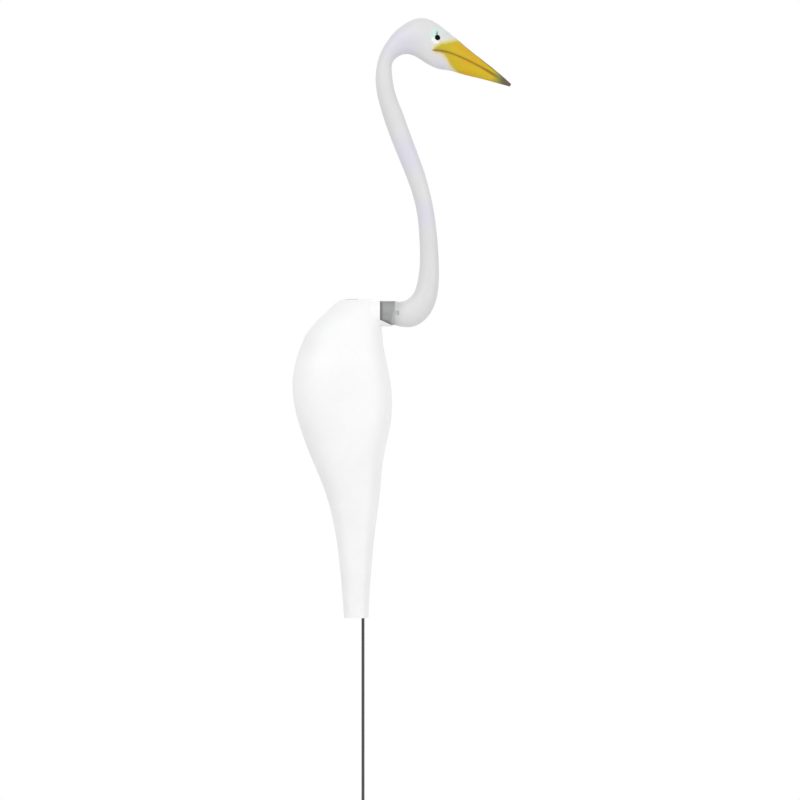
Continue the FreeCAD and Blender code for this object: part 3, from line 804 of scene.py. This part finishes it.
def screw_pieces(name, node, material):
    """Pan-head screws, one for each screw of the node, as one piece. Their heads are on the left."""
    joined = bmesh.new()
    for low, high in screw_boxes(node):
        head_radius = (high.x - low.x) / 2 / MM
        shank_length = (high.y - low.y) / MM - HEAD_HEIGHT
        blank = object_from(lathe(screw_profile(head_radius, shank_length)), name + "_blank")
        shaped = recessed(blank, low.z * STOP_TURN)
        under_head = ((low.x + high.x) / 2, high.y - HEAD_HEIGHT * MM, (low.z + high.z) / 2)
        place = Matrix.Translation(under_head)
        shaped.transform(place @ Matrix.Rotation(-math.pi / 2, 4, "X") @ Matrix.Scale(MM, 4))
        joined.from_mesh(shaped)
    piece = object_from(joined, name)
    piece.data.materials.append(material)
    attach(piece, "bird")
    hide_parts(node)


# ---- The object ----


def dress(node, material):
    """Gives a CAD node its material."""
    data = frame["nodes"][node].data
    data.materials.clear()
    data.materials.append(material)


body_paint = body_material()
neck_paint = neck_material()
bill_paint = bill_material()
bead = eye_material()
stake_paint = rod_material()
nylon = nylon_material()
steel = metal_material("polished_steel", POLISHED_STEEL, TURNED_STEEL, STEEL_ROUGHNESS)
zinc = metal_material("zinc_screw", ZINC, TURNED_ZINC, ZINC_ROUGHNESS)
FINISHES = {
    "body_shell_right": body_paint,
    "body_shell_left": body_paint,
    "neck_shell_right": neck_paint,
    "neck_shell_left": neck_paint,
    "upper_bill": bill_paint,
    "lower_bill": bill_paint,
    "eye_right": bead,
    "eye_left": bead,
    "neck_collar": collar_material(),
    "stake_upper_rod": stake_paint,
    "stake_lower_rod": stake_paint,
    "stake_coupler": stake_paint,
    "tip_cap": nylon,
    "pivot_block": nylon,
    "pivot_ball": steel,
    "pivot_cup": steel,
    "body_screws": zinc,
    "neck_screw": zinc,
}
for node, material in FINISHES.items():
    dress(node, material)

screw_pieces("body_screw_set", "body_screws", zinc)
screw_pieces("neck_screw_piece", "neck_screw", zinc)


# ---- Floor, background, light and camera ----

AMBIENT = 0.74  # strength of the even light from all round
FLOOR_HALF = 60.0
FLOOR_LIFT = 0.20  # what the camera sees of the floor is lifted by this much
SHADOW_REACH = 0.35  # the floor keeps its shadow this far from the stake
WHITE_REACH = 1.6  # and is plain white from here on
FRAME_WIDTH = 0.800  # at the bird
LENS = 200.0
CLIP_END = 200.0
VIEW_CENTRE = (37.0, -87.0)  # x and z from the pivot, in millimetres
LIGHT_SIZE = 1.6
# Place from the pivot in metres, and power in watts.
LIGHTS = {
    "key": ((-1.3, -1.9, 1.5), 18.0),
    "fill": ((1.9, -1.7, 0.3), 11.0),
    "low_front": ((0.2, -2.3, -1.0), 4.0),
    "back": ((0.4, 2.4, 1.4), 16.0),
}


def seen_directly(nodes, links):
    """1 for rays from the camera and for reflected and refracted ones, which see white all round."""
    path = nodes.new("ShaderNodeLightPath")
    total = path.outputs["Is Camera Ray"]
    for name in ("Is Glossy Ray", "Is Transmission Ray"):
        add = nodes.new("ShaderNodeMath")
        add.operation = "ADD"
        add.use_clamp = True
        links.new(total, add.inputs[0])
        links.new(path.outputs[name], add.inputs[1])
        total = add.outputs[0]
    return total


def mixed(nodes, links, factor, first, second):
    """The first shader at factor 0 and the second at 1."""
    mix = nodes.new("ShaderNodeMixShader")
    for source, socket in zip((factor, first, second), mix.inputs):
        links.new(source, socket)
    return mix.outputs[0]


def make_world():
    """Even white light, with a plain white background where it is seen directly."""
    world = bpy.data.worlds.new("white_studio")
    world.use_nodes = True
    nodes, links = world.node_tree.nodes, world.node_tree.links
    nodes.clear()
    lighting = nodes.new("ShaderNodeBackground")
    lighting.inputs["Color"].default_value = as_colour(WHITE)
    lighting.inputs["Strength"].default_value = AMBIENT
    backdrop = nodes.new("ShaderNodeBackground")
    backdrop.inputs["Color"].default_value = as_colour(WHITE)
    output = nodes.new("ShaderNodeOutputWorld")
    seen = seen_directly(nodes, links)
    mix = mixed(nodes, links, seen, lighting.outputs[0], backdrop.outputs[0])
    links.new(mix, output.inputs["Surface"])
    bpy.context.scene.world = world


def floor_material():
    """A pale floor that keeps the shadow near the stake and is white further out."""
    material = bpy.data.materials.new("pale_floor")
    material.use_nodes = True
    nodes, links = material.node_tree.nodes, material.node_tree.links
    nodes.clear()
    pale = nodes.new("ShaderNodeBsdfDiffuse")
    pale.inputs["Color"].default_value = as_colour(FLOOR_PALE)
    lift = nodes.new("ShaderNodeEmission")
    lift.inputs["Strength"].default_value = FLOOR_LIFT
    lifted = nodes.new("ShaderNodeAddShader")
    links.new(pale.outputs[0], lifted.inputs[0])
    links.new(lift.outputs[0], lifted.inputs[1])
    white = nodes.new("ShaderNodeEmission")
    place = nodes.new("ShaderNodeTexCoord")
    distance = nodes.new("ShaderNodeVectorMath")
    distance.operation = "LENGTH"
    links.new(place.outputs["Object"], distance.inputs[0])
    far = nodes.new("ShaderNodeMapRange")
    far.interpolation_type = "SMOOTHSTEP"
    far.inputs["From Min"].default_value = SHADOW_REACH
    far.inputs["From Max"].default_value = WHITE_REACH
    links.new(distance.outputs["Value"], far.inputs["Value"])
    seen = mixed(nodes, links, far.outputs[0], lifted.outputs[0], white.outputs[0])
    output = nodes.new("ShaderNodeOutputMaterial")
    mix = mixed(nodes, links, seen_directly(nodes, links), pale.outputs[0], seen)
    links.new(mix, output.inputs["Surface"])
    return material


def make_floor():
    mesh = bmesh.new()
    sides = ((-1, -1), (1, -1), (1, 1), (-1, 1))
    mesh.faces.new([mesh.verts.new((x * FLOOR_HALF, y * FLOOR_HALF, 0.0)) for x, y in sides])
    floor = object_from(mesh, "floor")
    floor.location.z = cad_low.z
    floor.data.materials.append(floor_material())


def soft_light(name, place, power):
    """A square soft light aimed at the pivot, which the camera doesn't see."""
    lamp = bpy.data.lights.new(name, "AREA")
    lamp.size = LIGHT_SIZE
    lamp.energy = power
    made = bpy.data.objects.new(name, lamp)
    made.location = pivot + Vector(place)
    made.rotation_euler = (-Vector(place)).to_track_quat("-Z", "Y").to_euler()
    made.visible_camera = False
    bpy.context.scene.collection.objects.link(made)


def make_camera():
    """A long level lens that looks along +Y and frames the bird as the photograph does."""
    camera = bpy.data.cameras.new("camera")
    camera.lens = LENS
    camera.clip_end = CLIP_END
    distance = FRAME_WIDTH * LENS / camera.sensor_width
    x, z = side_point(VIEW_CENTRE)
    made = bpy.data.objects.new("camera", camera)
    made.location = (x, pivot.y - distance, z)
    made.rotation_euler = (math.pi / 2, 0.0, 0.0)
    bpy.context.scene.collection.objects.link(made)
    bpy.context.scene.camera = made


make_world()
make_floor()
for name, (place, power) in LIGHTS.items():
    soft_light(name, place, power)
make_camera()
bpy.context.scene.view_settings.view_transform = "Standard"
